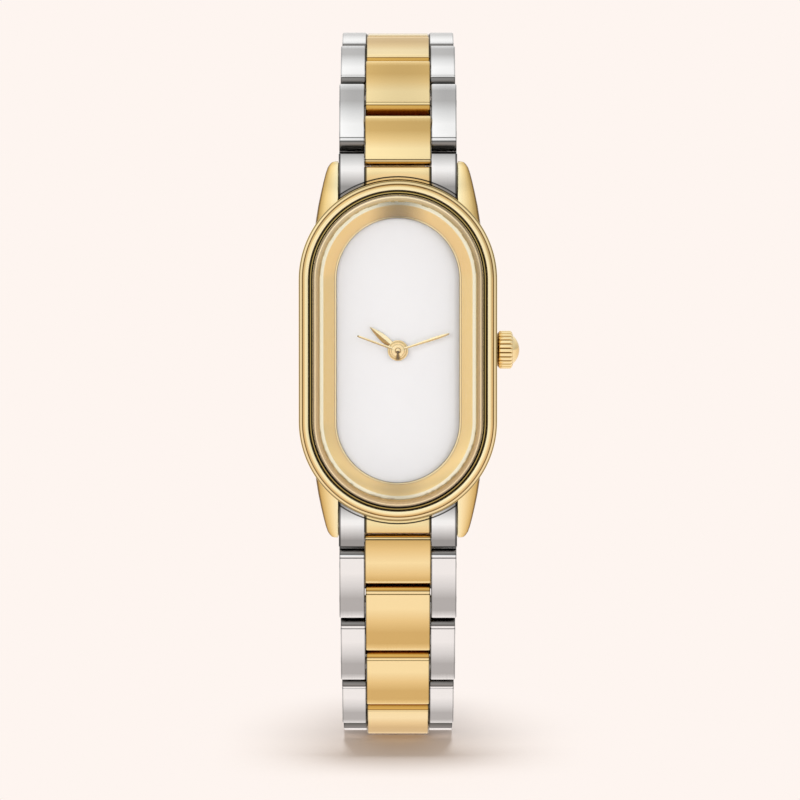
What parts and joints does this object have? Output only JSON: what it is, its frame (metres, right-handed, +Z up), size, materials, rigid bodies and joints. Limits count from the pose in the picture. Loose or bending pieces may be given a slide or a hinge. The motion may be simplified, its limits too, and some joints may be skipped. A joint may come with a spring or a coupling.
{
  "type": "wristwatch",
  "caption": "Oval quartz dress watch on a closed three row bracelet with a folding clasp, standing upright on its bracelet.",
  "frame": {"origin": "middle of the flat outer face of the bracelet link that the watch stands on", "axes": "+Z up, dial towards -Y and leaned back by 3 degrees, crown towards +X"},
  "size_m": [0.0223, 0.0478, 0.0722],
  "materials": {
    "polished_steel": "polished",
    "brushed_steel": "satin",
    "gold_plate": "polished",
    "crystal_glass": "polished",
    "seal_rubber": "matte",
    "white_dial": "satin",
    "holder_plastic": "matte",
    "movement_metal": "satin",
    "gear_brass": "satin",
    "coil_copper": "gloss",
    "cell_steel": "satin"
  },
  "bodies": {
    "watch_head": {"case_body": "gold_plate", "bezel": "gold_plate", "crystal": "crystal_glass", "gaskets": "seal_rubber", "dial": "white_dial", "dial_ring": "gold_plate", "case_back": "brushed_steel", "crown_tube": "polished_steel", "movement_holder": "holder_plastic", "main_plate": "movement_metal", "battery": "cell_steel", "drive_coil": "coil_copper", "end_links": "polished_steel", "end_link_centres": "gold_plate", "spring_bars": "brushed_steel"},
    "seconds": {"second_hand": "gold_plate"},
    "minutes": {"minute_hand": "gold_plate", "cannon_pinion": "gear_brass"},
    "hours": {"hour_hand": "gold_plate", "hour_wheel": "gear_brass"},
    "motion_wheel": {"minute_wheel": "gear_brass"},
    "clutch": {"sliding_pinion": "brushed_steel"},
    "crown_and_stem": {"crown": "gold_plate", "winding_stem": "brushed_steel"},
    "lower_centre_link_1": {"lower_centre_link_1": "gold_plate"},
    "lower_outer_links_1": {"lower_outer_links_1": "polished_steel"},
    "lower_centre_link_2": {"lower_centre_link_2": "gold_plate"},
    "lower_outer_links_2": {"lower_outer_links_2": "polished_steel"},
    "lower_centre_link_3": {"lower_centre_link_3": "gold_plate"},
    "lower_outer_links_3": {"lower_outer_links_3": "polished_steel"},
    "lower_centre_link_4": {"lower_centre_link_4": "gold_plate"},
    "lower_outer_links_4": {"lower_outer_links_4": "polished_steel"},
    "lower_centre_link_5": {"lower_centre_link_5": "gold_plate"},
    "lower_outer_links_5": {"lower_outer_links_5": "polished_steel"},
    "lower_centre_link_6": {"lower_centre_link_6": "gold_plate"},
    "lower_outer_links_6": {"lower_outer_links_6": "polished_steel"},
    "lower_centre_link_7": {"lower_centre_link_7": "gold_plate"},
    "lower_outer_links_7": {"lower_outer_links_7": "polished_steel"},
    "lower_centre_link_8": {"lower_centre_link_8": "gold_plate"},
    "lower_outer_links_8": {"lower_outer_links_8": "polished_steel"},
    "lower_centre_link_9": {"lower_centre_link_9": "gold_plate"},
    "upper_centre_link_1": {"upper_centre_link_1": "gold_plate"},
    "upper_outer_links_1": {"upper_outer_links_1": "polished_steel"},
    "upper_centre_link_2": {"upper_centre_link_2": "gold_plate"},
    "upper_outer_links_2": {"upper_outer_links_2": "polished_steel"},
    "upper_centre_link_3": {"upper_centre_link_3": "gold_plate"},
    "upper_outer_links_3": {"upper_outer_links_3": "polished_steel"},
    "upper_centre_link_4": {"upper_centre_link_4": "gold_plate"},
    "upper_outer_links_4": {"upper_outer_links_4": "polished_steel"},
    "upper_centre_link_5": {"upper_centre_link_5": "gold_plate"},
    "upper_outer_links_5": {"upper_outer_links_5": "polished_steel"},
    "upper_centre_link_6": {"upper_centre_link_6": "gold_plate"},
    "upper_outer_links_6": {"upper_outer_links_6": "polished_steel"},
    "upper_centre_link_7": {"upper_centre_link_7": "gold_plate"},
    "upper_outer_links_7": {"upper_outer_links_7": "polished_steel"},
    "upper_centre_link_8": {"upper_centre_link_8": "gold_plate"},
    "upper_outer_links_8": {"upper_outer_links_8": "polished_steel"},
    "clasp_inner_blade": {"clasp_inner_blade": "brushed_steel"},
    "clasp_middle_blade": {"clasp_middle_blade": "brushed_steel"},
    "clasp_cover": {"clasp_cover": "polished_steel"}
  },
  "joints": [
    {"name": "lower_centre_link_1_hinge", "type": "hinge", "parent": "watch_head", "child": "lower_centre_link_1", "pos_m": [0, -0.02404, 0.0217], "axis": [-1, 0, 0], "range_deg": [0, 10]},
    {"name": "lower_outer_links_1_hinge", "type": "hinge", "parent": "lower_centre_link_1", "child": "lower_outer_links_1", "pos_m": [0, -0.02385, 0.01911], "axis": [-1, 0, 0], "range_deg": [0, 8]},
    {"name": "lower_centre_link_2_hinge", "type": "hinge", "parent": "lower_outer_links_1", "child": "lower_centre_link_2", "pos_m": [0, -0.02329, 0.01555], "axis": [-1, 0, 0], "range_deg": [0, 12]},
    {"name": "lower_outer_links_2_hinge", "type": "hinge", "parent": "lower_centre_link_2", "child": "lower_outer_links_2", "pos_m": [0, -0.02218, 0.01213], "axis": [-1, 0, 0], "range_deg": [0, 12]},
    {"name": "lower_centre_link_3_hinge", "type": "hinge", "parent": "lower_outer_links_2", "child": "lower_centre_link_3", "pos_m": [0, -0.02054, 0.00892], "axis": [-1, 0, 0], "range_deg": [0, 13]},
    {"name": "lower_outer_links_3_hinge", "type": "hinge", "parent": "lower_centre_link_3", "child": "lower_outer_links_3", "pos_m": [0, -0.01838, 0.00604], "axis": [-1, 0, 0], "range_deg": [0, 14]},
    {"name": "lower_centre_link_4_hinge", "type": "hinge", "parent": "lower_outer_links_3", "child": "lower_centre_link_4", "pos_m": [0, -0.0157, 0.00363], "axis": [-1, 0, 0], "range_deg": [0, 16]},
    {"name": "lower_outer_links_4_hinge", "type": "hinge", "parent": "lower_centre_link_4", "child": "lower_outer_links_4", "pos_m": [0, -0.01255, 0.00189], "axis": [-1, 0, 0], "range_deg": [0, 23]},
    {"name": "lower_centre_link_5_hinge", "type": "hinge", "parent": "lower_outer_links_4", "child": "lower_centre_link_5", "pos_m": [0, -0.009, 0.00133], "axis": [-1, 0, 0], "range_deg": [0, 10]},
    {"name": "lower_outer_links_5_hinge", "type": "hinge", "parent": "lower_centre_link_5", "child": "lower_outer_links_5", "pos_m": [0, -0.0054, 0.0012], "axis": [-1, 0, 0], "range_deg": [0, 5]},
    {"name": "lower_centre_link_6_hinge", "type": "hinge", "parent": "lower_outer_links_5", "child": "lower_centre_link_6", "pos_m": [0, -0.0018, 0.0012], "axis": [-1, 0, 0], "range_deg": [0, 3]},
    {"name": "lower_outer_links_6_hinge", "type": "hinge", "parent": "lower_centre_link_6", "child": "lower_outer_links_6", "pos_m": [0, 0.0018, 0.0012], "axis": [-1, 0, 0], "range_deg": [0, 5]},
    {"name": "lower_centre_link_7_hinge", "type": "hinge", "parent": "lower_outer_links_6", "child": "lower_centre_link_7", "pos_m": [0, 0.0054, 0.00133], "axis": [-1, 0, 0], "range_deg": [0, 11]},
    {"name": "lower_outer_links_7_hinge", "type": "hinge", "parent": "lower_centre_link_7", "child": "lower_outer_links_7", "pos_m": [0, 0.00894, 0.00195], "axis": [-1, 0, 0], "range_deg": [0, 20]},
    {"name": "lower_centre_link_8_hinge", "type": "hinge", "parent": "lower_outer_links_7", "child": "lower_centre_link_8", "pos_m": [0, 0.01215, 0.00359], "axis": [-1, 0, 0], "range_deg": [0, 21]},
    {"name": "lower_outer_links_8_hinge", "type": "hinge", "parent": "lower_centre_link_8", "child": "lower_outer_links_8", "pos_m": [0, 0.0147, 0.00613], "axis": [-1, 0, 0], "range_deg": [0, 21]},
    {"name": "lower_centre_link_9_hinge", "type": "hinge", "parent": "lower_outer_links_8", "child": "lower_centre_link_9", "pos_m": [0, 0.01633, 0.00934], "axis": [-1, 0, 0], "range_deg": [0, 19]},
    {"name": "upper_centre_link_1_hinge", "type": "hinge", "parent": "watch_head", "child": "upper_centre_link_1", "pos_m": [0, -0.02201, 0.06025], "axis": [1, 0, 0], "range_deg": [0, 15]},
    {"name": "upper_outer_links_1_hinge", "type": "hinge", "parent": "upper_centre_link_1", "child": "upper_outer_links_1", "pos_m": [0, -0.02134, 0.06276], "axis": [1, 0, 0], "range_deg": [0, 22]},
    {"name": "upper_centre_link_2_hinge", "type": "hinge", "parent": "upper_outer_links_1", "child": "upper_centre_link_2", "pos_m": [0, -0.01933, 0.06574], "axis": [1, 0, 0], "range_deg": [0, 21]},
    {"name": "upper_outer_links_2_hinge", "type": "hinge", "parent": "upper_centre_link_2", "child": "upper_outer_links_2", "pos_m": [0, -0.01649, 0.06796], "axis": [1, 0, 0], "range_deg": [0, 16]},
    {"name": "upper_centre_link_3_hinge", "type": "hinge", "parent": "upper_outer_links_2", "child": "upper_centre_link_3", "pos_m": [0, -0.01323, 0.06948], "axis": [1, 0, 0], "range_deg": [0, 13]},
    {"name": "upper_outer_links_3_hinge", "type": "hinge", "parent": "upper_centre_link_3", "child": "upper_outer_links_3", "pos_m": [0, -0.00975, 0.07041], "axis": [1, 0, 0], "range_deg": [0, 12]},
    {"name": "upper_centre_link_4_hinge", "type": "hinge", "parent": "upper_outer_links_3", "child": "upper_centre_link_4", "pos_m": [0, -0.00617, 0.07079], "axis": [1, 0, 0], "range_deg": [0, 11]},
    {"name": "upper_outer_links_4_hinge", "type": "hinge", "parent": "upper_centre_link_4", "child": "upper_outer_links_4", "pos_m": [0, -0.00257, 0.07066], "axis": [1, 0, 0], "range_deg": [0, 10]},
    {"name": "upper_centre_link_5_hinge", "type": "hinge", "parent": "upper_outer_links_4", "child": "upper_centre_link_5", "pos_m": [0, 0.00098, 0.0701], "axis": [1, 0, 0], "range_deg": [0, 10]},
    {"name": "upper_outer_links_5_hinge", "type": "hinge", "parent": "upper_centre_link_5", "child": "upper_outer_links_5", "pos_m": [0, 0.00444, 0.06911], "axis": [1, 0, 0], "range_deg": [0, 11]},
    {"name": "upper_centre_link_6_hinge", "type": "hinge", "parent": "upper_outer_links_5", "child": "upper_centre_link_6", "pos_m": [0, 0.00773, 0.06764], "axis": [1, 0, 0], "range_deg": [0, 12]},
    {"name": "upper_outer_links_6_hinge", "type": "hinge", "parent": "upper_centre_link_6", "child": "upper_outer_links_6", "pos_m": [0, 0.01075, 0.06568], "axis": [1, 0, 0], "range_deg": [0, 12]},
    {"name": "upper_centre_link_7_hinge", "type": "hinge", "parent": "upper_outer_links_6", "child": "upper_centre_link_7", "pos_m": [0, 0.01342, 0.06327], "axis": [1, 0, 0], "range_deg": [0, 12]},
    {"name": "upper_outer_links_7_hinge", "type": "hinge", "parent": "upper_centre_link_7", "child": "upper_outer_links_7", "pos_m": [0, 0.01569, 0.06048], "axis": [1, 0, 0], "range_deg": [0, 13]},
    {"name": "upper_centre_link_8_hinge", "type": "hinge", "parent": "upper_outer_links_7", "child": "upper_centre_link_8", "pos_m": [0, 0.01744, 0.05733], "axis": [1, 0, 0], "range_deg": [0, 13]},
    {"name": "upper_outer_links_8_hinge", "type": "hinge", "parent": "upper_centre_link_8", "child": "upper_outer_links_8", "pos_m": [0, 0.01861, 0.05392], "axis": [1, 0, 0], "range_deg": [0, 13]},
    {"name": "clasp_end_hinge", "type": "hinge", "parent": "upper_outer_links_8", "child": "clasp_inner_blade", "pos_m": [0, 0.01917, 0.05037], "axis": [1, 0, 0], "range_deg": [0, 20]},
    {"name": "clasp_fold", "type": "hinge", "parent": "clasp_inner_blade", "child": "clasp_middle_blade", "pos_m": [0, 0.01651, 0.01711], "axis": [-1, 0, 0], "range_deg": [0, 120]},
    {"name": "clasp_cover_fold", "type": "hinge", "parent": "clasp_middle_blade", "child": "clasp_cover", "pos_m": [0, 0.01869, 0.04539], "axis": [1, 0, 0], "range_deg": [0, 120]},
    {"name": "seconds_turn", "type": "hinge", "parent": "watch_head", "child": "seconds", "pos_m": [0, -0.02332, 0.04099], "axis": [0, 0.9986, -0.0523], "continuous": true},
    {"name": "minutes_turn", "type": "hinge", "parent": "watch_head", "child": "minutes", "pos_m": [0, -0.02332, 0.04099], "axis": [0, 0.9986, -0.0523], "continuous": true},
    {"name": "hours_turn", "type": "hinge", "parent": "watch_head", "child": "hours", "pos_m": [0, -0.02332, 0.04099], "axis": [0, 0.9986, -0.0523], "continuous": true},
    {"name": "motion_wheel_turn", "type": "hinge", "parent": "watch_head", "child": "motion_wheel", "pos_m": [0, -0.02345, 0.03859], "axis": [0, 0.9986, -0.0523], "continuous": true},
    {"name": "crown_turn", "type": "hinge", "parent": "watch_head", "child": "clutch", "pos_m": [0, -0.02271, 0.04096], "axis": [1, 0, 0], "continuous": true},
    {"name": "crown_pull", "type": "slide", "parent": "clutch", "child": "crown_and_stem", "axis": [1, 0, 0], "range_m": [0, 0.0009]}
  ],
  "couplings": [
    {"joint": "minutes_turn", "follows": "seconds_turn", "ratio": 0.016667},
    {"joint": "hours_turn", "follows": "seconds_turn", "ratio": 0.0013889},
    {"joint": "motion_wheel_turn", "follows": "seconds_turn", "ratio": -0.0055556},
    {"joint": "clasp_cover_fold", "follows": "clasp_fold", "ratio": 1}
  ]
}
